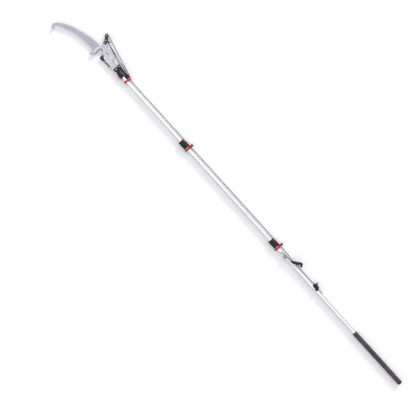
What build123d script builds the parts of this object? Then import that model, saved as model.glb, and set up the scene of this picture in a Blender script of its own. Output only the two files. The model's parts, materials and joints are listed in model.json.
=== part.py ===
from build123d import *
from math import cos, pi, radians, sin
import os

# Telescoping pole saw, lying on its side.  Millimetres and degrees.
# +X runs up the pole from the butt, +Y is the saw side, -Y the rope side.
# The origin is the centre of the butt's end face.

# ---------------------------------------------------------------- driving sizes
WALL = 1.2                      # wall of every tube
LOWER_R = 15.0                  # outer radius of the lower tube
MIDDLE_R = 13.5                 # outer radius of the middle tube
UPPER_R = 12.0                  # outer radius of the upper tube
RUNNING = 0.06                  # radial play of a part that slides or turns
REST_GAP = 0.35                 # gap between parts of two bodies that only pass

GRIP_R = 17.3
GRIP_END = 487.0
CAP_LENGTH = 14.0

LOCK_2_X = 1309.0               # lower end of the lock on the lower tube
LOCK_1_X = 2257.0               # lower end of the lock on the middle tube
LOCK_LENGTH = 64.0
LOCK_R = 20.6
LOCK_SEAT = 33.0                # depth of the tube's seat in its lock
MIDDLE_START = 1170.0           # lower end of the middle tube, fully drawn out
UPPER_START = 2120.0            # lower end of the upper tube, fully drawn out

GUIDE_LENGTH = 17.0
GUIDE_GAP = 3.0                 # between a rope guide and its lock
ROPE_R = 2.0
KNOT_R = 3.8
ROPE_Y = -25.5                  # rope line at the guides
ROPE_Z = -14.5

CLEAT_X = 884.0
CLIP_X = 1205.0

HEAD_X = 2919.0                 # origin of the saw head's own coordinates
LATCH_PIVOT = (HEAD_X + 45.5, 18.0)
BAIL_PIVOT = (HEAD_X + 38.5, 20.2)
HEAD_TILT = 1.9                 # the head leans this much towards the saw side
SLEEVE_START = HEAD_X + 12.5
SLEEVE_END = HEAD_X + 60.0
UPPER_END = SLEEVE_START + 30.0
COLLAR_X = HEAD_X - 33.5
COLLAR_LENGTH = 16.5

PLATE = 2.5                     # thickness of one head plate
GAP = 1.6                       # half the space between the two head plates
PLATE_TOP = GAP + PLATE
PIVOT = (171.5, -40.0)          # lever pivot in head coordinates
HEAD_BOLT = (85.9, -5.35)       # bolt through block and head plates
CUTTER_STROKE = 42.4
DRIVE_R = 30.0                  # lever pivot to drive pin
LEVER_OPEN = 2.5                # lever stands this much further open than drawn
GUIDE_V = -3.0                  # line of the two guide screws
GUIDE_SCREWS = (164.5, 197.0)
GUIDE_SHANK_R = 2.5
PULLEY = (304.0, -130.0)        # arm pulley in head coordinates
PULLEY_R = 8.5
SHEAVE = (33.0, -34.0)          # bracket pulley
SHEAVE_R = 5.0

SAW_HALF = 0.8                  # half the saw blade's thickness
TOOTH_PITCH = 5.0
TOOTH_DEPTH = 2.6
DIMPLE_PITCH = 8.0              # shallow dimples in a row behind the teeth
DIMPLE_INSET = 8.0

nodes = {}


# ---------------------------------------------------------------- shared shapes
def rod_x(radius, start, end, y=0.0, z=0.0):
    """A round bar along X."""
    return Pos((start + end) / 2, y, z) * Rot(0, 90, 0) * Cylinder(radius, end - start)


def tube_x(outer, inner, start, end):
    """A round tube along X, on the pole's axis."""
    return rod_x(outer, start, end) - rod_x(inner, start - 1, end + 1)


def rod_y(radius, start, end, x=0.0, z=0.0):
    """A round bar along Y."""
    return Pos(x, (start + end) / 2, z) * Rot(90, 0, 0) * Cylinder(radius, end - start)


def rod_z(radius, start, end, x=0.0, y=0.0):
    """A round bar along Z."""
    return Pos(x, y, (start + end) / 2) * Cylinder(radius, end - start)


def box(low, high):
    """A block between two corners."""
    size = [b - a for a, b in zip(low, high)]
    middle = [(a + b) / 2 for a, b in zip(low, high)]
    return Pos(*middle) * Box(*size)


def plate(points, z_low, z_high, radii=1.0):
    """A flat plate with rounded corners, drawn in plan."""
    line = FilletPolyline(*points, radius=radii, close=True)
    return Pos(0, 0, z_low) * extrude(make_face(line), amount=z_high - z_low, dir=(0, 0, 1))


def across(sketch, start, end):
    """A section in the YZ plane, drawn along X."""
    return Pos(start, 0, 0) * extrude(Plane.YZ * sketch, amount=end - start, dir=(1, 0, 0))


def far_rim(shape):
    """The widest circular edge of a shape's far end."""
    rims = shape.edges().filter_by(GeomType.CIRCLE).group_by(Axis.X)[-1]
    return rims.sort_by(SortBy.RADIUS)[-1]


def hull_of(circles, grow=0.0):
    """The section that wraps a few circles, each given as (y, z, radius)."""
    edges = [(Pos(y, z) * Circle(r + grow)).edge() for y, z, r in circles]
    return make_hull(edges)


def screw(x, y, z_low, z_high, shank, head, head_height=2.0, slot=True):
    """A cheese-head screw or rivet along Z, with its head on the +Z face."""
    body = rod_z(shank, z_low, z_high, x, y) + rod_z(head, z_high, z_high + head_height, x, y)
    if slot:
        body -= box((x - head, y - 0.5, z_high + head_height - 0.8),
                    (x + head, y + 0.5, z_high + head_height + 1))
    return body


# ---------------------------------------------------------------- lower section
def make_lower_section():
    nodes["lower_tube"] = tube_x(LOWER_R, LOWER_R - WALL, CAP_LENGTH, LOCK_2_X + LOCK_SEAT)

    end = fillet(rod_x(GRIP_R, 0, CAP_LENGTH).edges().group_by(Axis.X)[0], 6)
    nodes["butt_cap"] = end + rod_x(LOWER_R - WALL, CAP_LENGTH, 40)

    grip = tube_x(GRIP_R, LOWER_R, CAP_LENGTH, GRIP_END)
    nodes["grip"] = chamfer(far_rim(grip), 1.2)


def make_cleat():
    """Rope cleat: a saddle on the tube, a block beside it and two horns."""
    low, high = CLEAT_X, CLEAT_X + 51
    saddle = tube_x(LOWER_R + 3.5, LOWER_R, low + 5, high - 5)
    saddle &= box((low, -30, -13), (high, -2, 20))
    block = plate([(high, -12), (high, -24), (high - 10, -33), (low + 17, -33), (low + 5, -25),
                   (low + 2, -12)], -8, 21, [3, 6, 4, 6, 5, 2])
    block -= rod_x(LOWER_R, low - 5, high + 5)
    outer_horn = plate([(high - 13, -28), (high - 5, -46), (high - 11, -46), (high - 24, -30)],
                       6, 13, [1, 1.5, 1.5, 1])
    inner_horn = plate([(low, 2), (low + 15, 3.5), (low + 27, -6), (low + 30, -18), (low + 6, -18),
                        (low, -6)], LOWER_R + 0.4, 21, [4, 4, 5, 1, 1, 4])
    rope_hole = rod_x(ROPE_R + 0.4, low - 2, high + 2, -18.5, -4)
    nodes["cleat"] = (saddle + block + outer_horn + inner_horn) - rope_hole
    screws_x = (low + 17, low + 40)
    nodes["cleat"] -= Compound([rod_z(1.8, 12, 22, x, -22) for x in screws_x])
    nodes["cleat_screws"] = Compound([screw(x, -22, 12, 21, 1.8, 3.2, 1.4) for x in screws_x])


def make_pull_handle():
    """Pull handle parked over the tube, its clip and its cord."""
    clip = tube_x(LOWER_R + 2.6, LOWER_R, CLIP_X + 4, CLIP_X + 20)
    clip &= box((CLIP_X, -11, -9), (CLIP_X + 20, 20, 22))
    tab = box((CLIP_X + 4, LOWER_R + 1, -1.2), (CLIP_X + 12, LOWER_R + 12, 1.2))
    stud = rod_z(6, LOWER_R + 1.0, LOWER_R + 8, CLIP_X + 12, 3)
    nodes["handle_clip"] = clip + fillet(tab.edges().filter_by(Axis.Z).group_by(Axis.Y)[-1], 3) + stud
    body = plate([(1166, -3), (1164, -15), (1140, -32), (1103, -60), (1086, -47), (1081, -29),
                  (1118, -22), (1146, -7)], LOWER_R + 2.2, LOWER_R + 13.2, [4, 4, 60, 7, 10, 5, 30, 12])
    body = fillet(body.edges().filter_by(Plane.XY), 2.2)
    finger_hole = plate([(1112, -28.5), (1107, -35.5), (1095, -36.5), (1091, -31.5)],
                        LOWER_R, LOWER_R + 16, [2, 3, 3, 2])
    cord_hole = rod_x(2.3, 1150, 1170, -9, LOWER_R + 7.7)
    nodes["pull_handle"] = body - finger_hole - cord_hole

    over_clip = LOWER_R + 4.9
    run = [(1262, 2, LOWER_R + 2.3), (1242, -3, LOWER_R + 2.5), (1230, -6, over_clip),
           (1205, -5.5, over_clip), (1173, -9, LOWER_R + 7.7), (1153, -9, LOWER_R + 7.7)]
    loop = Pos(CLIP_X + 12, 3, over_clip) * Torus(6 + ROPE_R + 0.1, ROPE_R)
    nodes["handle_cord"] = run_of_rope(run, [15, 15, 30, 12]) + loop


# ---------------------------------------------------------------- clamp locks
def make_lock(name, start, seat_r, slide_r):
    """Flip-lever clamp on a tube's end: housing, brake shoe, lever and pin."""
    def at(x):
        return start + x

    housing = rod_x(LOCK_R, at(0), at(LOCK_LENGTH))
    housing += box((at(4), -23, -11), (at(56), -8, 11))
    housing += rod_z(5.5, -11, 11, at(48), -21.5)
    housing = chamfer(far_rim(housing), 1.5)
    for rib in range(6):
        groove = tube_x(LOCK_R + 2, LOCK_R - 1.1, at(7 + 9 * rib), at(10.5 + 9 * rib))
        housing -= groove & box((at(0), -10, -30), (at(LOCK_LENGTH), 30, 30))
    housing -= rod_x(seat_r, at(-1), at(LOCK_SEAT))
    housing -= rod_x(slide_r + RUNNING, at(LOCK_SEAT - 1), at(LOCK_LENGTH + 1))
    housing -= box((at(3), -40, -6.6), (at(60), -16.9, 6.6))
    housing -= box((at(41), -17, -5), (at(55), -10, 5))
    housing -= rod_z(2.0, -12, 12, at(48), -21.5)
    nodes[name + "_housing"] = housing

    shoe = box((at(41), -16.9, -5), (at(55), -10, 5)) - rod_x(slide_r + REST_GAP, at(30), at(70))
    nodes[name + "_shoe"] = shoe

    hub = rod_z(4.2, -6.2, 6.2, at(48), -21.5)
    arm = plate([(at(50), -25.6), (at(44), -19.6), (at(22), -20.5), (at(10), -20.5), (at(7), -24),
                 (at(9), -28.4), (at(30), -28.8)], -6.2, 6.2, [0.5, 1, 10, 2, 1.5, 2, 20])
    lever = hub + arm - rod_z(2.0 + RUNNING, -8, 8, at(48), -21.5)
    nodes[name + "_lever"] = lever
    nodes[name + "_pin"] = rod_z(2.0, -11.6, 11.6, at(48), -21.5)


def make_guide(name, start, tube_r):
    """Rope guide: a black ring with an eye, a red band round it, a hand screw."""
    end = start + GUIDE_LENGTH
    circles = [(0, 0, tube_r + 3.4), (ROPE_Y, ROPE_Z, 5.6)]
    tube_hole = rod_x(tube_r, start - 5, end + 5)
    screw_x = (start + end) / 2
    screw_hole = rod_y(3.0, -40, -tube_r + 1, screw_x)
    lug = box((start + 2.5, tube_r + 1, -5), (end - 2.5, tube_r + 10.5, 5))
    rope_eye = rod_x(ROPE_R + 0.8, start - 5, end + 5, ROPE_Y, ROPE_Z)

    ring = across(hull_of(circles), start, end) + lug
    nodes[name + "_ring"] = ring - tube_hole - rope_eye - screw_hole
    band = across(hull_of(circles, 2.4), start + 1.2, end - 1.2) - across(hull_of(circles), start, end)
    nodes[name + "_band"] = band - lug - screw_hole

    knob = rod_y(9.5, -46, -36, screw_x)
    for flute in range(10):
        turn = 2 * pi * flute / 10
        knob -= rod_y(1.3, -47, -35, screw_x + 9.9 * cos(turn), 9.9 * sin(turn))
    nodes[name + "_knob"] = knob + rod_y(2.9, -36, -tube_r - 0.1, screw_x)


# ---------------------------------------------------------------- sliding tubes
def make_sliding_tubes():
    nodes["middle_tube"] = tube_x(MIDDLE_R, MIDDLE_R - WALL, MIDDLE_START, LOCK_1_X + LOCK_SEAT)
    nodes["upper_tube"] = tube_x(UPPER_R, UPPER_R - WALL, UPPER_START, UPPER_END)
    for name, start, tube_r, bore in (("middle_foot", MIDDLE_START, MIDDLE_R, LOWER_R - WALL),
                                      ("upper_foot", UPPER_START, UPPER_R, MIDDLE_R - WALL)):
        foot = rod_x(bore - RUNNING, start - 10, start) + rod_x(tube_r - WALL, start, start + 30)
        nodes[name] = foot - rod_x(6, start - 11, start + 31)


# ---------------------------------------------------------------- head socket
def make_socket():
    """Sleeve on the upper tube, and the block that holds the head plates."""
    sleeve = rod_x(15.2, SLEEVE_START, SLEEVE_END)
    sleeve += box((HEAD_X + 41.5, 8, -7), (HEAD_X + 49.5, 18, 7)) + rod_z(4, -7, 7, *LATCH_PIVOT)
    sleeve -= box((HEAD_X + 34, 14.2, -3.3), (HEAD_X + 54, 24, 3.3))
    sleeve -= rod_z(1.8, -8, 8, *LATCH_PIVOT)
    sleeve -= rod_x(UPPER_R, SLEEVE_START - 1, SLEEVE_END + 1)
    nodes["head_sleeve"] = sleeve

    neck = rod_x(UPPER_R, UPPER_END, SLEEVE_END) + rod_x(14.2, SLEEVE_END, HEAD_X + 66)
    shoulder = box((HEAD_X + 64, -17, -11), (HEAD_X + 78, 8, 11))
    block = plate([(HEAD_X + 76, 8), (HEAD_X + 82, 14.5), (HEAD_X + 99.5, 15.5), (HEAD_X + 99.5, -18),
                   (HEAD_X + 76, -18)], -11, 11, [1, 3, 2.5, 2.5, 1])
    catch = plate([(HEAD_X + 67.5, 7), (HEAD_X + 67, 12), (HEAD_X + 61, 15.4), (HEAD_X + 61, 7)], -6, 6,
                  [0.5, 1.5, 1, 0.5])
    block = neck + shoulder + block + catch
    block -= box((HEAD_X + 77, -40, -PLATE_TOP), (HEAD_X + 110, 40, PLATE_TOP))
    block -= rod_z(2.5, -14, 14, *head_point(*HEAD_BOLT))
    nodes["head_block"] = block
    bolt = screw(*head_point(*HEAD_BOLT), -11, 11, 2.5, 4.6, 2.4)
    nodes["head_bolt"] = bolt + rod_z(4.4, -14, -11, *head_point(*HEAD_BOLT))


def make_latch():
    """Red over-centre latch that draws the head block down on the sleeve."""
    arm = plate([(HEAD_X + 47, 21.3), (HEAD_X + 38, 23.6), (HEAD_X + 12, 22), (HEAD_X + 4, 18.5),
                 (HEAD_X + 5, 15.8), (HEAD_X + 12, 17.4), (HEAD_X + 36, 17.2), (HEAD_X + 46, 14.7)],
                -7, 7, [1, 8, 12, 1, 1, 6, 8, 0.5])
    lever = arm + rod_z(3.4, -3, 3, *LATCH_PIVOT)
    lever -= rod_z(1.8 + RUNNING, -9, 9, *LATCH_PIVOT) + rod_z(0.9 + RUNNING, -9, 9, *BAIL_PIVOT)
    for low, high in ((3.0, 9), (-9, -3.0)):
        lever -= box((HEAD_X + 34, 12, low), (HEAD_X + 60, 30, high))
    nodes["latch_lever"] = lever
    nodes["latch_pin"] = rod_z(1.8, -7.6, 7.6, *LATCH_PIVOT)

    top = (HEAD_X + 68.8, 12.0)
    side = Line((*BAIL_PIVOT, 8.6), (*top, 8.6))
    wire_end = rod_z(0.9, -8.6, 8.6, *BAIL_PIVOT) + rod_z(0.9, -8.6, 8.6, *top)
    rail = sweep(Plane(origin=side @ 0, z_dir=side % 0) * Circle(0.9), path=side)
    nodes["latch_bail"] = wire_end + rail + Pos(0, 0, -17.2) * rail


def make_bracket():
    """Pulley bracket beside the socket, its sheave, and the collar round its tail."""
    def spot(u, v):
        return HEAD_X + u, v

    outline = [spot(104, -30), spot(104, -37), spot(92, -40), spot(60, -38), spot(16, -39), spot(-12, -40),
               spot(-34, -36), spot(-34, -13.5), spot(12, -13.5), spot(17, -20.8), spot(75, -20.8),
               spot(75, -12), spot(90, -12), spot(94, -22)]
    body = plate(outline, -8, 8, [4, 4, 20, 60, 60, 8, 3, 0.5, 2, 2, 3, 0.5, 0.5, 4])
    body -= plate([spot(14, -50), spot(14, -23.4), spot(62, -23.4), spot(78, -33.5), spot(110, -42),
                   spot(110, -50)], -3.3, 3.3, 0.5)
    body -= rod_x(UPPER_R + 0.02, HEAD_X - 40, HEAD_X + 14)
    body -= rod_x(15.2, SLEEVE_START - 0.5, SLEEVE_END + 0.5)
    body -= box((HEAD_X + 60, -19, -12), (HEAD_X + 110, 0, 12))
    body -= rod_z(2.0, -9, 9, *spot(*SHEAVE))
    body -= rod_z(1.6, -9, 9, *spot(-9, -19))
    body -= box((HEAD_X - 40, -50, -9), (HEAD_X - 14, -28.8, 9))
    for low, high in ((6.5, 9), (-9, -6.5)):
        body -= box((HEAD_X - 40, -50, low), (HEAD_X - 14, 0, high))
    nodes["pulley_bracket"] = body
    nodes["pulley_bracket"] -= rod_z(1.9, -9, 9, *spot(88, -33.6))

    wheel = rod_z(SHEAVE_R + 1.6, -2.9, 2.9, *spot(*SHEAVE))
    groove = Pos(*spot(*SHEAVE), 0) * Torus(SHEAVE_R + ROPE_R, ROPE_R + 0.15)
    nodes["bracket_sheave"] = wheel - groove - rod_z(2.0 + RUNNING, -4, 4, *spot(*SHEAVE))
    rivet = rod_z(1.9, -9, 8, *spot(88, -33.6)) + rod_z(3.2, 8, 9.4, *spot(88, -33.6))
    nodes["bracket_pins"] = Compound([rod_z(2.0, -9.4, 9.4, *spot(*SHEAVE)), rivet])


def make_collar():
    end = COLLAR_X + COLLAR_LENGTH
    circles = [(0, 0, 13.6), (-21.5, 0, 10.2)]
    tail = box((COLLAR_X - 3, -28.8, -6.5), (end + 3, -1, 6.5))
    hole = rod_x(UPPER_R, COLLAR_X - 2, end + 2) + tail
    lug = box((COLLAR_X + 2.5, 12, -4), (end - 2.5, 19.5, 4))
    ring = across(hull_of(circles), COLLAR_X, end) + lug
    nodes["collar_ring"] = ring - hole
    band = across(hull_of(circles, 2.2), COLLAR_X + 1.4, end - 1.4)
    nodes["collar_band"] = band - across(hull_of(circles), COLLAR_X, end) - lug
    bolt_x = COLLAR_X + 10
    nodes["collar_band"] -= rod_y(2.4, -40, -30, bolt_x)
    nodes["collar_ring"] -= rod_y(2.4, -40, -28.9, bolt_x)
    nodes["collar_bolt"] = rod_y(4.2, -37.4, -33.9, bolt_x) + rod_y(2.4, -33.9, -28.9, bolt_x)


# ---------------------------------------------------------------- saw head
def head(shape):
    """Moves a shape from the saw head's own coordinates to the pole's."""
    return Pos(HEAD_X, 0, 0) * Rot(0, 0, HEAD_TILT) * shape


def head_point(u, v):
    """A point of the saw head in the pole's coordinates."""
    tilt = radians(HEAD_TILT)
    return HEAD_X + u * cos(tilt) - v * sin(tilt), u * sin(tilt) + v * cos(tilt)


def swung(shape):
    """Opens a lever piece about its pivot and moves it with the head."""
    turned = Pos(*PIVOT, 0) * Rot(0, 0, LEVER_OPEN) * Pos(-PIVOT[0], -PIVOT[1], 0) * shape
    return head(turned)


# corners of a head plate in head coordinates, with the radius of each
HEAD_PLATE_CORNERS = [
    ((82, -18.5), 0.5), ((82, 9.5), 0.5), ((187, 8.5), 12), ((211, 0), 14), ((246, -31.4), 2.5),
    ((274.4, -33), 11), ((277, 31), 1.5), ((281, 38.5), 2.5), ((297.5, 10), 26), ((297, -16), 22),
    ((284, -37), 9), ((268, -47), 18), ((240, -52), 11), ((218, -33), 6), ((203, -33), 7),
    ((191.5, -43), 5), ((189, -60), 11), ((152, -60), 17), ((151.5, -27), 6), ((139, -18.8), 9),
]


def make_head_plates():
    corners, radii = zip(*HEAD_PLATE_CORNERS)
    holes = [(*PIVOT, 4.0), (*HEAD_BOLT, 2.5), (284, -20, 2.0), (284, 11, 2.0), (249, -42, 2.5)]
    holes += [(u, GUIDE_V, GUIDE_SHANK_R) for u in GUIDE_SCREWS]
    for name, low in (("head_plate_front", GAP), ("head_plate_back", -PLATE_TOP)):
        blank = plate(corners, low, low + PLATE, radii)
        for u, v, r in holes:
            blank -= rod_z(r, low - 1, low + PLATE + 1, u, v)
        nodes[name] = head(blank)

    nodes["guide_screws"] = head(Compound([
        screw(u, GUIDE_V, -PLATE_TOP, PLATE_TOP, GUIDE_SHANK_R, 5.5, 2.4)
        + rod_z(5.0, -PLATE_TOP - 2.6, -PLATE_TOP, u, GUIDE_V)
        - extrude(Pos(u, GUIDE_V, -PLATE_TOP - 2.6) * RegularPolygon(2.4, 6), amount=1.5)
        for u in GUIDE_SCREWS]))
    pivot = rod_z(4.0, -PLATE_TOP, PLATE_TOP, *PIVOT) + rod_z(7.0, PLATE_TOP, PLATE_TOP + 1.2, *PIVOT)
    nut = extrude(Pos(*PIVOT, PLATE_TOP + 1.2) * RegularPolygon(6.4, 6), amount=4.2)
    bolt_head = extrude(Pos(*PIVOT, -PLATE_TOP - 4.6) * RegularPolygon(6.4, 6), amount=3.6)
    washer = rod_z(7.2, -PLATE_TOP - 1.2, -PLATE_TOP, *PIVOT)
    thread = rod_z(3.4, PLATE_TOP + 5.4, PLATE_TOP + 6.6, *PIVOT)
    nodes["pivot_bolt"] = head(pivot + nut + thread + washer + bolt_head)
    stem = [(249, -42, 2.5, 4.2)]
    tang = [(284, v, 2.0, 3.4) for v in (-20, 11)]
    nodes["hook_screws"] = head(Compound([
        screw(u, v, -PLATE_TOP, PLATE_TOP, shank, cap, 1.6)
        + rod_z(cap - 0.3, -PLATE_TOP - 1.8, -PLATE_TOP, u, v) for u, v, shank, cap in stem + tang]))
    washers = [(249, -42, 2.5, -GAP, GAP)]
    washers += [(284, v, 2.0, low, high) for v in (-20, 11)
                for low, high in ((SAW_HALF, GAP), (-GAP, -SAW_HALF))]
    nodes["spacers"] = head(Compound([
        rod_z(bore + 2.6, low, high, u, v) - rod_z(bore, low - 1, high + 1, u, v)
        for u, v, bore, low, high in washers]))


def make_anvil():
    """Black counter-strip along the hook's throat, against the head plates' edges."""
    curve = Spline((262, -31), (268, -27.4), (273.1, -18.8), tangents=[(1, 0.02), (0.1, 1)])
    path = Wire([Line((246.8, -29), (262, -31)), curve, Line((273.1, -18.8), (275.0, 30))])
    profile = Plane(origin=path @ 0, x_dir=(0, 0, 1), z_dir=path % 0) * Rectangle(9.4, 3.6)
    nodes["anvil_strip"] = head(sweep(profile, path=path))
    for name in ("head_plate_front", "head_plate_back"):
        nodes[name] -= nodes["anvil_strip"]
    nodes["anvil_cap"] = head(plate([(272.8, 30.8), (276.7, 30.6), (277.2, 37), (273.5, 38.4)],
                                    -4.7, 4.7, [0.5, 0.5, 1.6, 1.6]))


def make_saw():
    """Curved pull-saw blade: spine, hooked end, toothed inner edge and barb."""
    spine = Spline((287, -37), (340, -38), (400, -28), (470, -10), (540, 15), (600, 50), (625, 72),
                   (632, 95), (624, 113), (603, 119), tangents=[(1, -0.06), (-1, -0.15)])
    hook = Spline((603, 119), (612, 105), (613, 91), (600, 78), tangents=[(0.85, -0.5), (-0.8, -0.55)])
    edge = Spline((600, 78), (560, 58), (500, 33), (440, 18.5), (380, 11), (332, 9),
                  tangents=[(-0.9, -0.45), (-1, -0.02)])
    count = round(edge.length / TOOTH_PITCH)
    teeth = []
    for tooth in range(count):
        root = edge @ (tooth / count)
        tangent = edge % ((tooth + 0.35) / count)
        tip = edge @ ((tooth + 0.35) / count) + Vector(tangent.Y, -tangent.X, 0) * TOOTH_DEPTH
        teeth += [root, tip]
    teeth.append(edge @ 1)
    base = Polyline((332, 9), (318, 8.5), (306, 10))
    barb = Spline((306, 10), (299.5, 22), (298, 36), (305, 55), tangents=[(-0.6, 0.8), (0.7, 0.9)])
    heel = Polyline((305, 55), (293, 53), (284, 45), (278.5, 33), (278.5, -30), (287, -37))
    face = make_face(Wire([*spine.edges(), *hook.edges(), *Polyline(*teeth).edges(), *base.edges(),
                           *barb.edges(), *heel.edges()]))
    blade = Pos(0, 0, -SAW_HALF) * extrude(face, amount=2 * SAW_HALF, dir=(0, 0, 1))
    for v in (-20, 11):
        blade -= rod_z(2.0, -3, 3, 284, v)
    dimples = round(edge.length / DIMPLE_PITCH)
    for place in range(1, dimples):
        tangent = edge % (place / dimples)
        spot = edge @ (place / dimples) - Vector(tangent.Y, -tangent.X, 0) * DIMPLE_INSET
        for low in (SAW_HALF - 0.25, -SAW_HALF - 1):
            blade -= rod_z(1.1, low, low + 1.25, spot.X, spot.Y)
    nodes["saw_blade"] = head(blade)


def make_cutter():
    """Sliding cutting blade, forked round its guide screws."""
    outline = [(110, -14), (110, 7), (181, 7), (185, 10), (185, 17), (191, 17), (194, 21), (201, 23),
               (224, 23.5), (229, 21), (229, -12), (205, -16), (160, -20), (138, -20), (134, -14)]
    blade = plate(outline, -GAP + 0.1, -0.05, [2, 2, 1, 1, 1, 1, 2, 2, 3, 1, 4, 6, 4, 2, 2])
    slot_low = GUIDE_SCREWS[0] - CUTTER_STROKE - 3.2
    slot_high = GUIDE_SCREWS[1] + 3.2
    blade -= box((slot_low, GUIDE_V - 2.6, -3), (slot_high, GUIDE_V + 2.6, 1))
    pin_u = PIVOT[0] - DRIVE_R * sin(pi / 4)
    blade -= box((pin_u - 3.2, -30, -3), (pin_u + 3.2, -6.9, 1))
    blade -= rod_z(1.2, -3, 1, 188, 13.5)
    edge = Pos(229, 5, -GAP + 0.1) * Rot(0, 45, 0) * Box(1.6, 60, 1.6)
    nodes["cutter_blade"] = head(blade - edge)

    anchor = plate([(119, 5), (119, 20), (129, 21), (131, 12), (128, 5)], PLATE_TOP, PLATE_TOP + 1.2,
                   [1, 3, 3, 2, 1])
    nodes["spring_anchor"] = head(anchor + rod_z(1.2, -3, PLATE_TOP, 126, 14.8))
    spring = rod_x(4.6, 131, 182, 14.8, -0.9) - rod_x(3.4, 130, 183, 14.8, -0.9)
    nodes["return_spring"] = head(spring)


def make_lever():
    """Steel lever, its drive pin, the arm's two cheeks and the pulley."""
    drive = (PIVOT[0] - DRIVE_R * sin(pi / 4), PIVOT[1] + DRIVE_R * cos(pi / 4))
    plan = [(185, -60), (200, -61), (212, -73), (221.5, -87), (227.5, -75), (242, -69), (262, -78),
            (274, -103), (292, -112), (284, -80), (265, -60), (240, -53), (205, -45), (190, -36), (160, -36),
            (166, -60)]
    steel = plate(plan, 0.05, GAP - 0.1, [2, 8, 6, 1.8, 3, 8, 6, 3, 3, 8, 10, 20, 12, 3, 2, 4])
    steel = head(Pos(*PIVOT, 0) * Rot(0, 0, LEVER_OPEN) * Pos(-PIVOT[0], -PIVOT[1], 0) * steel)
    hub = rod_z(15, 0.05, GAP - 0.1, *PIVOT)
    nose = plate([(drive[0] - 4.5, drive[1] - 2), (drive[0] - 2, drive[1] + 3.4),
                  (drive[0] + 4, drive[1] + 3.5), (PIVOT[0] + 4, PIVOT[1] + 8), (PIVOT[0] - 10, PIVOT[1] - 2)],
                 0.05, GAP - 0.1, [1.5, 2.5, 1.5, 1, 1])
    steel += head(hub + nose)
    drive_peg = rod_z(2.0, -GAP + 0.2, 0.1, *drive)
    nodes["cutter_lever"] = steel + head(drive_peg) - head(rod_z(4.0 + RUNNING, -2, 3, *PIVOT))

    cheek = [(284, -72), (266, -76), (262, -81), (268, -92), (269, -107), (280, -119), (294, -136),
             (302, -141.5), (313, -138), (316, -126), (312, -119), (300, -110), (290, -97), (287, -84)]
    radii = [4, 2, 3, 6, 6, 4, 6, 6, 6, 6, 6, 10, 10, 4]
    cheeks = []
    for low in (3.2, -5.4):
        side = plate(cheek, low, low + 2.2, radii)
        side -= rod_z(2.0, low - 1, low + 4, *PULLEY) + rod_z(2.0, low - 1, low + 4, 282, -102)
        cheeks.append(side - rod_z(1.6, low - 1, low + 4, 278, -84))
    nodes["arm_cheeks"] = swung(Compound(cheeks))
    packing = [rod_z(5, low, high, 282, -102) - rod_z(2.0, low - 1, high + 1, 282, -102)
               for low, high in ((GAP - 0.1, 3.2), (-3.2, 0.05))]
    nodes["arm_packing"] = swung(Compound(packing))
    nodes["cutter_lever"] -= swung(rod_z(2.0, -2, 3, 282, -102)) + swung(rod_z(1.6, -2, 3, 278, -84))
    nodes["arm_screws"] = swung(Compound([
        screw(282, -102, -5.4, 5.4, 2.0, 3.6, 1.6) + rod_z(3.3, -7, -5.4, 282, -102),
        screw(278, -84, -5.4, 5.4, 1.6, 3.0, 1.2) + rod_z(2.8, -6.6, -5.4, 278, -84)]))
    wheel = rod_z(PULLEY_R + 1.6, -2.9, 2.9, *PULLEY)
    groove = Pos(*PULLEY, 0) * Torus(PULLEY_R + ROPE_R, ROPE_R + 0.15)
    nodes["arm_pulley"] = swung(wheel - groove - rod_z(2.0 + RUNNING, -4, 4, *PULLEY))
    nodes["arm_axle"] = swung(screw(*PULLEY, -5.4, 5.4, 2.0, 3.6, 1.4) + rod_z(3.3, -6.8, -5.4, *PULLEY))


# ---------------------------------------------------------------- rope
def run_of_rope(points, radii):
    """A stretch of rope: straight runs joined by tangent arcs."""
    path = FilletPolyline(*points, radius=radii) if len(points) > 2 else Line(*points)
    profile = Plane(origin=path @ 0, z_dir=path % 0) * Circle(ROPE_R)
    return sweep(profile, path=path)


def beside(centre, along, radius, sense):
    """Two corners of a rope's turn round a pulley's far end, for arcs of its radius."""
    dx, dy = along
    reach = sense * radius
    return [(centre[0] + dx * reach - dy * side * radius, centre[1] + dy * reach + dx * side * radius, 0)
            for side in (sense, -sense)]


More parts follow.
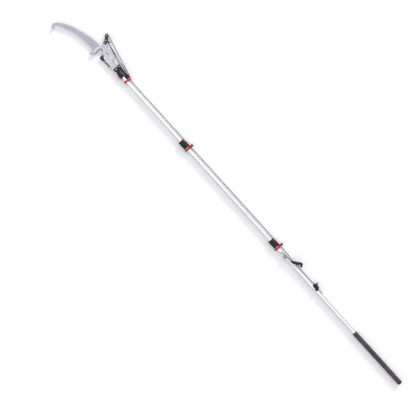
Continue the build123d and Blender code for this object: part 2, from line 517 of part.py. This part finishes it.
def make_rope():
    """Working rope: knot, bracket sheave, arm pulley, past the collar, guides, cleat."""
    sheave = (HEAD_X + SHEAVE[0], SHEAVE[1])
    pulley = swing_point(*PULLEY)
    span = Vector(pulley[0] - sheave[0], pulley[1] - sheave[1], 0).normalized()
    low_r, high_r = SHEAVE_R + ROPE_R + 0.8, PULLEY_R + ROPE_R + 0.8
    low_turn = beside(sheave, (span.X, span.Y), low_r, -1)
    high_turn = beside(pulley, (span.X, span.Y), high_r, 1)
    knot = swing_point(259.5, -103)
    collar_turn = (COLLAR_X + 7.5, -37.0, -10.0)
    below_collar = (COLLAR_X - 18, -24.5, -11.5)
    parting = tuple((a + b) / 2 for a, b in zip(collar_turn, below_collar))
    guide_1_top = (LOCK_1_X - GUIDE_GAP + 1, ROPE_Y, ROPE_Z)
    guide_2_top = (LOCK_2_X - GUIDE_GAP + 1, ROPE_Y, ROPE_Z)
    guide_2_low = (LOCK_2_X - GUIDE_GAP - GUIDE_LENGTH - 2, ROPE_Y, ROPE_Z)

    falls = [parting, collar_turn, *reversed(high_turn), *low_turn, (*knot, 0)]
    radii = [20] + [high_r * 0.9] * 2 + [low_r * 0.9] * 2
    away = Vector(knot[0] - sheave[0], knot[1] - sheave[1], 0)
    end_knot = Pos(0, 0, 3.5) * Cylinder(KNOT_R, 7)
    end_knot = fillet(end_knot.edges().filter_by(GeomType.CIRCLE), 1.6)
    end_knot = Plane(origin=(*knot, 0), z_dir=away) * end_knot
    nodes["rope_falls"] = Compound([run_of_rope(falls, radii), end_knot])
    nodes["rope_upper"] = run_of_rope([parting, below_collar, guide_1_top], [45])
    nodes["rope_middle"] = run_of_rope([(guide_1_top[0] - 0.3, ROPE_Y, ROPE_Z), guide_2_top], 0)
    nodes["rope_lower"] = run_of_rope(
        [guide_2_top, guide_2_low, (1215, -21.5, -8), (1100, -18.5, -4), (CLEAT_X - 40, -18.5, -4)],
        [120, 300, 600])


def swing_point(u, v):
    """A point of the lever's arm in the pole's coordinates."""
    turn = radians(LEVER_OPEN)
    du, dv = u - PIVOT[0], v - PIVOT[1]
    u, v = PIVOT[0] + du * cos(turn) - dv * sin(turn), PIVOT[1] + du * sin(turn) + dv * cos(turn)
    return head_point(u, v)


# ---------------------------------------------------------------- build and write
make_lower_section()
make_cleat()
make_pull_handle()
make_lock("lock_2", LOCK_2_X, LOWER_R, MIDDLE_R)
make_lock("lock_1", LOCK_1_X, MIDDLE_R, UPPER_R)
make_guide("guide_2", LOCK_2_X - GUIDE_GAP - GUIDE_LENGTH, LOWER_R)
make_guide("guide_1", LOCK_1_X - GUIDE_GAP - GUIDE_LENGTH, MIDDLE_R)
make_sliding_tubes()
make_socket()
make_latch()
make_bracket()
make_collar()
make_head_plates()
make_anvil()
make_saw()
make_cutter()
make_lever()
make_rope()

os.makedirs("parts", exist_ok=True)
for name, shape in nodes.items():
    export_step(shape, f"parts/{name}.step")
print(len(nodes), "nodes")
print("lever pivot", head_point(*PIVOT))
print("arm pulley", swing_point(*PULLEY))
print("latch pivot", LATCH_PIVOT, "bail pivot", BAIL_PIVOT)
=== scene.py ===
import json
from math import cos, pi, radians, sin, sqrt

import bpy
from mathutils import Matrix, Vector


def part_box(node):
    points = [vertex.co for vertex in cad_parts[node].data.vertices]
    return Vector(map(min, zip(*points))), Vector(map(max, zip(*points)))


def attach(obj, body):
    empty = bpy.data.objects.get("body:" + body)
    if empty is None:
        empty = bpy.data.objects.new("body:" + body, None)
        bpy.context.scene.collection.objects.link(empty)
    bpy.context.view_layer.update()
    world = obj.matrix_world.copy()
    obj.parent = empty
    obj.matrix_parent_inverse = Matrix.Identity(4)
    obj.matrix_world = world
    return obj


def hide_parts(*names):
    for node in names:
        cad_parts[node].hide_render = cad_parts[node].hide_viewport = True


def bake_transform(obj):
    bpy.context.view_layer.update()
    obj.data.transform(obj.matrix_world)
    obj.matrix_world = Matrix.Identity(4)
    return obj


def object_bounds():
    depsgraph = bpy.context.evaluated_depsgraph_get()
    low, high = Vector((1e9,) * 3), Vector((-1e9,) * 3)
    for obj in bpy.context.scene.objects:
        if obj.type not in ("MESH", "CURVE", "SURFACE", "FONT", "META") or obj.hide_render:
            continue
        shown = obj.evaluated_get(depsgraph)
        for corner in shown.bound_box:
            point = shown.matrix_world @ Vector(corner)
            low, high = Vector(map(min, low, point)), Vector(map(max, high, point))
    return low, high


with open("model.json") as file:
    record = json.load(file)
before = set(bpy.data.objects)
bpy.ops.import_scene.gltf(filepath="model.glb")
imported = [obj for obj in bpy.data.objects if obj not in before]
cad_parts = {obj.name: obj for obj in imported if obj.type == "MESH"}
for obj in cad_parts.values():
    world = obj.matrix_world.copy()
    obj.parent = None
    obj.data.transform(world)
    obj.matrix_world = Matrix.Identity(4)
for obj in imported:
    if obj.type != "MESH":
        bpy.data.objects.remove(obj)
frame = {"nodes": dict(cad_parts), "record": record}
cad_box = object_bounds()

MM = 0.001
HEAD_X = 2.919          # origin of the saw head's own coordinates on the pole
HEAD_TILT = radians(1.9)
UP = Vector((0, 0, 1))

# Camera: a long lens keeps the long pole nearly free of perspective.
LENS, SENSOR = 100.0, 36.0
FRAME_WIDTH = 2.954
CAMERA_AIM = (1.840, 0.175)
CAMERA_ROLL = radians(-132.19)
FLOOR_HALF = 30.0

# Rope
ROPE_RADIUS = 0.002
ROPE_STEP = 0.0016
ROPE_LAY = 0.013        # length in which one strand moves on by one lobe's turn
ROPE_SIDES = 18
CORD_RADIUS = 0.0026
GUIDE_Y, GUIDE_Z = -0.0255, -0.0145      # the rope's run through both lock housings
LOW_Y, LOW_Z = -0.0185, -0.004           # the rope's run along the lower tube to the cleat

# Grip and spring
GRIP_BORE = 0.015
GRIP_STEPS = 240
RING_DEPTH = 0.00022
WIRE_RADIUS = 0.0006
COIL_RADIUS = 0.0044
COIL_TURNS = 30
COIL_STEPS = 16         # points in one turn of the coil


def head(u, v, z=0.0):
    """A point of the saw head's own millimetres, in the shared frame's metres."""
    u, v, z = u * MM, v * MM, z * MM
    x = HEAD_X + u * cos(HEAD_TILT) - v * sin(HEAD_TILT)
    y = u * sin(HEAD_TILT) + v * cos(HEAD_TILT)
    return Vector((x, y, z))


# ---------------------------------------------------------------- camera, floor and light
def make_camera():
    """Long lens straight above the pole, turned so that the butt lies lower right."""
    data = bpy.data.cameras.new("camera")
    data.lens, data.sensor_width = LENS, SENSOR
    data.clip_end = 100
    camera = bpy.data.objects.new("camera", data)
    camera.location = (*CAMERA_AIM, FRAME_WIDTH * LENS / SENSOR)
    camera.rotation_euler = (0, 0, CAMERA_ROLL)
    bpy.context.collection.objects.link(camera)
    bpy.context.scene.camera = camera


def make_stage():
    """A white floor that touches the lowest point of the CAD model."""
    floor_z = cad_box[0][2]
    mesh = bpy.data.meshes.new("floor")
    half = FLOOR_HALF
    corners = [(-half, -half), (half, -half), (half, half), (-half, half)]
    mesh.from_pydata([(x, y, floor_z) for x, y in corners], [], [(0, 1, 2, 3)])
    floor = bpy.data.objects.new("floor", mesh)
    bpy.context.collection.objects.link(floor)
    material, _, _, shader = new_material("floor_white")
    shader.inputs["Base Color"].default_value = (0.99, 0.99, 0.99, 1)
    shader.inputs["Roughness"].default_value = 0.9
    shader.inputs["Specular IOR Level"].default_value = 0.1
    mesh.materials.append(material)


def make_light():
    """A white tent brightest overhead, with a low soft key that throws the shadow to the saw side."""
    world = bpy.data.worlds.new("studio")
    bpy.context.scene.world = world
    world.use_nodes = True
    nodes, links = world.node_tree.nodes, world.node_tree.links
    background = nodes["Background"]
    place = nodes.new("ShaderNodeTexCoord")
    split = nodes.new("ShaderNodeSeparateXYZ")
    tent = nodes.new("ShaderNodeValToRGB")
    tent.color_ramp.elements[0].position = 0.05
    tent.color_ramp.elements[0].color = (0.16, 0.155, 0.18, 1)
    tent.color_ramp.elements[1].position = 0.92
    tent.color_ramp.elements[1].color = (1, 1, 1, 1)
    middle = tent.color_ramp.elements.new(0.62)
    middle.color = (0.52, 0.51, 0.55, 1)
    links.new(place.outputs["Generated"], split.inputs["Vector"])
    links.new(split.outputs["Z"], tent.inputs["Fac"])
    links.new(tent.outputs["Color"], background.inputs["Color"])
    background.inputs["Strength"].default_value = 1.28

    data = bpy.data.lights.new("key", "SUN")
    data.energy = 1.1
    data.angle = radians(14)
    key = bpy.data.objects.new("key", data)
    key.rotation_euler = Vector((-0.35, 1.0, -0.62)).to_track_quat("-Z", "Y").to_euler()
    bpy.context.collection.objects.link(key)
    bpy.context.scene.view_settings.view_transform = "Standard"


# ---------------------------------------------------------------- materials
def new_material(name):
    material = bpy.data.materials.new(name)
    material.use_nodes = True
    nodes, links = material.node_tree.nodes, material.node_tree.links
    return material, nodes, links, nodes["Principled BSDF"]


def grain(nodes, links, scale, stretch=(1, 1, 1), detail=4.0):
    """Noise in object coordinates, finer by scale, drawn out along an axis by stretch."""
    place = nodes.new("ShaderNodeTexCoord")
    mapping = nodes.new("ShaderNodeMapping")
    mapping.inputs["Scale"].default_value = stretch
    noise = nodes.new("ShaderNodeTexNoise")
    noise.inputs["Scale"].default_value = scale
    noise.inputs["Detail"].default_value = detail
    links.new(place.outputs["Object"], mapping.inputs["Vector"])
    links.new(mapping.outputs["Vector"], noise.inputs["Vector"])
    return noise.outputs["Fac"]


def ramp(nodes, links, value, low, high, start=0.3, end=0.7):
    """Two colours or greys, blended by a value."""
    node = nodes.new("ShaderNodeValToRGB")
    for element, position, colour in zip(node.color_ramp.elements, (start, end), (low, high)):
        element.position = position
        element.color = (*colour, 1)
    links.new(value, node.inputs["Fac"])
    return node.outputs["Color"]


def bump(nodes, links, shader, value, depth, strength=0.5):
    node = nodes.new("ShaderNodeBump")
    node.inputs["Strength"].default_value = strength
    node.inputs["Distance"].default_value = depth
    links.new(value, node.inputs["Height"])
    links.new(node.outputs["Normal"], shader.inputs["Normal"])


def metal(name, dark, light, rough, stretch, scale=60.0, depth=0.00008, metallic=1.0):
    """Metal with a drawn or ground grain."""
    material, nodes, links, shader = new_material(name)
    fine = grain(nodes, links, scale, stretch)
    broad = grain(nodes, links, 9.0)
    mix = nodes.new("ShaderNodeMixRGB")
    mix.inputs["Fac"].default_value = 0.35
    links.new(ramp(nodes, links, fine, dark, light), mix.inputs["Color1"])
    links.new(ramp(nodes, links, broad, dark, light), mix.inputs["Color2"])
    links.new(mix.outputs["Color"], shader.inputs["Base Color"])
    low, high = [(rough * k,) * 3 for k in (0.75, 1.3)]
    links.new(ramp(nodes, links, fine, low, high), shader.inputs["Roughness"])
    shader.inputs["Metallic"].default_value = metallic
    bump(nodes, links, shader, fine, depth, 0.35)
    return material


def plastic(name, dark, light, rough, scale=900.0, depth=0.00006, coat=0.0):
    """Moulded plastic with a fine spark-eroded grain and faint scuffs."""
    material, nodes, links, shader = new_material(name)
    fine = grain(nodes, links, scale, detail=2.0)
    scuff = grain(nodes, links, 38.0, (1, 1, 1), 8.0)
    links.new(ramp(nodes, links, scuff, dark, light, 0.35, 0.75), shader.inputs["Base Color"])
    low, high = [(rough * k,) * 3 for k in (0.85, 1.25)]
    links.new(ramp(nodes, links, scuff, low, high), shader.inputs["Roughness"])
    shader.inputs["Specular IOR Level"].default_value = 0.3
    shader.inputs["Coat Weight"].default_value = coat
    shader.inputs["Coat Roughness"].default_value = 0.15
    bump(nodes, links, shader, fine, depth, 0.4)
    return material


def foam(name):
    """Closed-cell grip foam: pitted, dull, purplish grey."""
    material, nodes, links, shader = new_material(name)
    cells = nodes.new("ShaderNodeTexVoronoi")
    place = nodes.new("ShaderNodeTexCoord")
    cells.inputs["Scale"].default_value = 620.0
    links.new(place.outputs["Object"], cells.inputs["Vector"])
    mottle = grain(nodes, links, 22.0, (1, 1, 1), 6.0)
    links.new(ramp(nodes, links, mottle, (0.035, 0.026, 0.037), (0.075, 0.058, 0.078)),
              shader.inputs["Base Color"])
    shader.inputs["Roughness"].default_value = 0.72
    shader.inputs["Sheen Weight"].default_value = 0.25
    bump(nodes, links, shader, cells.outputs["Distance"], 0.0004, 0.6)
    return material


def woven(name, dark, light):
    """Rope yarn: fine fibres over the strands' own shape."""
    material, nodes, links, shader = new_material(name)
    fibre = grain(nodes, links, 1500.0, (0.4, 1, 1), 3.0)
    links.new(ramp(nodes, links, fibre, dark, light), shader.inputs["Base Color"])
    shader.inputs["Roughness"].default_value = 0.85
    shader.inputs["Specular IOR Level"].default_value = 0.25
    shader.inputs["Sheen Weight"].default_value = 0.1
    bump(nodes, links, shader, fibre, 0.0002, 0.6)
    return material


def make_materials():
    along, across = (0.03, 1, 1), (1, 1, 0.2)
    return {
        "alloy_tube": metal("alloy", (0.80, 0.79, 0.82), (0.93, 0.93, 0.95), 0.30, along, 500.0),
        "steel_plate": metal("plate_steel", (0.47, 0.455, 0.52), (0.61, 0.59, 0.67), 0.36, along, 420.0),
        "saw_steel": metal("saw_steel", (0.34, 0.325, 0.40), (0.46, 0.445, 0.54), 0.30,
                           (0.05, 1, 1), 380.0),
        "fastener_steel": metal("fastener_steel", (0.62, 0.62, 0.64), (0.80, 0.80, 0.82), 0.22,
                                across, 300.0),
        "bolt_brass": metal("bolt_brass", (0.72, 0.60, 0.36), (0.86, 0.76, 0.52), 0.30, across, 300.0),
        "black_plastic": plastic("black_plastic", (0.008, 0.0075, 0.011), (0.020, 0.019, 0.026), 0.45),
        "red_plastic": plastic("red_plastic", (0.55, 0.018, 0.016), (0.70, 0.035, 0.03), 0.34, coat=0.15),
        "grip_rubber": foam("grip_foam"),
        "rope": woven("rope_yarn", (0.007, 0.007, 0.008), (0.034, 0.034, 0.038)),
        "black_steel": metal("black_steel", (0.012, 0.012, 0.014), (0.035, 0.034, 0.038), 0.38, across, 400.0,
                             metallic=0.4),
        "spring_steel": metal("spring_steel", (0.20, 0.16, 0.14), (0.42, 0.36, 0.32), 0.35, across, 500.0),
        "pale_plastic": plastic("pale_plastic", (0.72, 0.71, 0.69), (0.86, 0.85, 0.83), 0.4),
        "bush_nylon": plastic("bush_nylon", (0.03, 0.03, 0.033), (0.06, 0.06, 0.065), 0.5),
    }


def finish_nodes(materials):
    """Gives every CAD node the detailed finish of its slot."""
    slots = {part["node"]: part["material_slot"] for part in frame["record"]["subparts"]}
    for node, piece in frame["nodes"].items():
        for place in piece.material_slots:
            place.material = materials[slots[node]]


# ---------------------------------------------------------------- mesh tools
def new_piece(name, verts, faces, material):
    mesh = bpy.data.meshes.new(name)
    mesh.from_pydata([tuple(v) for v in verts], [], faces)
    mesh.materials.append(material)
    mesh.polygons.foreach_set("use_smooth", [True] * len(mesh.polygons))
    mesh.update()
    piece = bpy.data.objects.new(name, mesh)
    bpy.context.collection.objects.link(piece)
    return piece


def tube_along(points, radius_at, around):
    """Closed tube of vertex rings along a path; radius_at(distance, angle) shapes each ring."""
    points = [Vector(p) for p in points]
    verts, faces, travelled = [], [], 0.0
    side = None
    for i, point in enumerate(points):
        ahead = points[min(i + 1, len(points) - 1)] - points[max(i - 1, 0)]
        ahead.normalize()
        if side is None:
            side = ahead.orthogonal().normalized()
        side = (side - ahead * side.dot(ahead)).normalized()
        other = ahead.cross(side)
        if i:
            travelled += (point - points[i - 1]).length
        for k in range(around):
            angle = 2 * pi * k / around
            r = radius_at(travelled, angle)
            verts.append(point + side * (r * cos(angle)) + other * (r * sin(angle)))
    for i in range(len(points) - 1):
        for k in range(around):
            a, b = i * around + k, i * around + (k + 1) % around
            faces.append((a, b, b + around, a + around))
    faces.append(tuple(reversed(range(around))))
    last = (len(points) - 1) * around
    faces.append(tuple(last + k for k in range(around)))
    return verts, faces


def spline_points(route, resolution):
    """Points read from a NURBS line through a route of control points in metres."""
    data = bpy.data.curves.new("route", "CURVE")
    data.dimensions = "3D"
    spline = data.splines.new("NURBS")
    spline.points.add(len(route) - 1)
    for point, place in zip(spline.points, route):
        point.co = (*place, 1)
    spline.order_u = 3
    spline.use_endpoint_u = True
    spline.resolution_u = resolution
    carrier = bpy.data.objects.new("route", data)
    mesh = bpy.data.meshes.new_from_object(carrier)
    points = [v.co.copy() for v in mesh.vertices]
    bpy.data.objects.remove(carrier)
    bpy.data.meshes.remove(mesh)
    return points


def respaced(points, step):
    """The same line with points an even step apart."""
    spaced, carried = [points[0]], 0.0
    for a, b in zip(points, points[1:]):
        length = (b - a).length
        at = step - carried
        while at < length:
            spaced.append(a.lerp(b, at / length))
            at += step
        carried = length - (at - step)
    spaced.append(points[-1])
    return spaced


def lathe_x(name, profile, material, around=64):
    """A round piece on the pole's axis from (x, radius) pairs, closed on itself."""
    verts, faces = [], []
    angles = [2 * pi * k / around for k in range(around)]
    for x, r in profile:
        verts += [(x, r * cos(angle), r * sin(angle)) for angle in angles]
    count = len(profile)
    for i in range(count):
        j = (i + 1) % count
        for k in range(around):
            n = (k + 1) % around
            faces.append((i * around + k, j * around + k, j * around + n, i * around + n))
    return new_piece(name, verts, faces, material)


# ---------------------------------------------------------------- rope
def laid_rope(name, route, material, resolution=24, radius=ROPE_RADIUS):
    """Three-strand rope: three lobes that turn as the rope runs."""

    def radius_at(distance, angle):
        lobe = abs(cos(1.5 * (angle - 2 * pi * distance / (3 * ROPE_LAY))))
        return radius * (0.86 + 0.22 * sqrt(lobe))

    points = respaced(spline_points(route, resolution), ROPE_STEP)
    verts, faces = tube_along(points, radius_at, ROPE_SIDES)
    return new_piece(name, verts, faces, material)


def turn_round(centre, along, radius, far):
    """Control points of a half turn round a pulley, with a point on each run beside it."""
    across = Vector((-along.y, along.x, 0))
    tip = centre + along * (radius * far)
    back = centre - along * (radius * 1.4 * far)
    return [back + across * radius * far, tip + across * radius * far,
            tip - across * radius * far, back - across * radius * far]


def make_ropes(material):
    """Four lengths of rope, one for each stretch of pole that a joint lengthens or shortens."""
    guide_1 = Vector((2.255, GUIDE_Y, GUIDE_Z))
    guide_2 = Vector((1.307, GUIDE_Y, GUIDE_Z))
    guide_2_low = Vector((1.287, GUIDE_Y, GUIDE_Z))
    collar = Vector((2.893, -0.037, -0.010))
    below = Vector((2.8675, -0.0245, -0.0115))
    parting = (collar + below) / 2
    sheave = Vector((2.952, -0.034, 0))
    pulley = Vector((3.230746, -0.113861, 0))
    along = (pulley - sheave).normalized()

    make_knot(material, Vector((3.1849, -0.0914, 0)), Vector((-0.965, 0.262, 0)))
    make_handle_cord(material)

    low = turn_round(sheave, along, 0.0078, -1)
    high = turn_round(pulley, along, 0.0113, 1)
    knot = Vector((3.1882, -0.0894, 0))
    beside_collar = collar + (high[-1] - collar).normalized() * 0.024
    falls = [knot, knot.lerp(low[0], 0.5), *low, low[3].lerp(high[0], 0.5), *high,
             high[3].lerp(beside_collar, 0.5), beside_collar, collar, parting]
    piece = laid_rope("rope_falls_laid", falls, material, 40)
    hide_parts("rope_falls")
    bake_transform(piece)

    upper = [parting, below, below.lerp(guide_1, 0.05), below.lerp(guide_1, 0.5), guide_1]
    piece = laid_rope("rope_upper_laid", upper, material)
    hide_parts("rope_upper")
    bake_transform(piece)

    piece = laid_rope("rope_middle_laid", [guide_1, guide_1.lerp(guide_2, 0.5), guide_2], material)
    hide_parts("rope_middle")
    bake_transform(piece)

    lower = [guide_2, guide_2_low, Vector((1.255, -0.0245, -0.0122)), Vector((1.215, -0.0215, -0.008)),
             Vector((1.160, -0.0195, -0.0055)), Vector((1.100, LOW_Y, LOW_Z)), Vector((0.970, LOW_Y, LOW_Z)),
             Vector((0.844, LOW_Y, LOW_Z))]
    piece = laid_rope("rope_lower_laid", lower, material)
    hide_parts("rope_lower")
    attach(piece, "lower_pole")


def make_knot(material, centre, along):
    """Overhand knot under the arm's cheeks, with its cut tail, on the cutter's arm."""
    across = Vector((-along.y, along.x, 0))
    size = 0.0042
    turns = [centre + along * 0.012, centre + along * 0.006]
    for step in range(15):
        angle = 2 * pi * step / 7
        ring = centre + along * (0.004 - 0.0006 * step)
        turns.append(ring + across * (size * cos(angle)) + UP * (size * sin(angle)))
    turns += [centre - along * 0.004 + across * 0.006, centre + along * 0.001 + across * 0.010,
              centre + along * 0.008 + across * 0.0125]
    knot = laid_rope("rope_end_knot", turns, material)
    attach(knot, "cutter")


def make_handle_cord(material):
    """Handle's cord: from the tube's front, twice round the clip's stud, into the handle's neck."""
    stud = Vector((1.217, 0.003, 0))
    turn, rise = 0.0090, 0.0030
    route = [Vector((1.262, 0.002, 0.0173)), Vector((1.246, -0.002, 0.0175)), Vector((1.232, -0.005, 0.0190))]
    for step in range(18):
        angle = radians(-75 - 45 * step)
        height = 0.0190 + rise * step / 9
        route.append(stud + Vector((turn * cos(angle), turn * sin(angle), height)))
    route += [Vector((1.200, -0.0055, 0.0215)), Vector((1.185, -0.0075, 0.0222)),
              Vector((1.172, -0.009, 0.0227)), Vector((1.153, -0.009, 0.0227))]
    cord = laid_rope("handle_cord_laid", route, material, radius=CORD_RADIUS)
    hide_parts("handle_cord")
    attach(cord, "lower_pole")


# ---------------------------------------------------------------- grip and spring
def make_grip(material):
    """Foam sleeve with softly rounded ends and shallow rings along its length."""
    low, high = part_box("grip")
    start, end, outer, inner = low[0], high[0], high[1], GRIP_BORE
    profile = [(start, inner), (start, outer - 0.0008), (start + 0.0008, outer)]
    for i in range(1, GRIP_STEPS):
        x = start + (end - start) * i / GRIP_STEPS
        ring = RING_DEPTH * (0.5 + 0.5 * cos(2 * pi * i / 3))
        profile.append((x, outer - ring))
    profile += [(end - 0.004, outer), (end - 0.0015, outer - 0.0006), (end - 0.0003, outer - 0.0018),
                (end, inner)]
    piece = lathe_x("grip_foam_sleeve", profile, material)
    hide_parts("grip")
    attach(piece, "lower_pole")


def make_spring(material):
    """Close-wound return spring with a hook at each end."""
    radius = COIL_RADIUS
    count = COIL_TURNS * COIL_STEPS
    start, end = 131.5, 181.0
    v, z = 14.8, -0.9
    points = [head(126, v, z), head(128.5, v, z + 0.4)]
    for i in range(count + 1):
        angle = 2 * pi * i / COIL_STEPS
        share = i / count
        u = start + (end - start) * share
        points.append(head(u, v + radius / MM * sin(angle), z + radius / MM * cos(angle)))
    points += [head(184.5, v, z + 0.4), head(188, v - 1.3, z)]
    verts, faces = tube_along(points, lambda distance, angle: WIRE_RADIUS, 8)
    piece = new_piece("return_spring_coil", verts, faces, material)
    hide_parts("return_spring")
    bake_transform(piece)


# ---------------------------------------------------------------- build
make_camera()
make_stage()
make_light()
materials = make_materials()
finish_nodes(materials)
make_ropes(materials["rope"])
make_grip(materials["grip_rubber"])
make_spring(materials["spring_steel"])
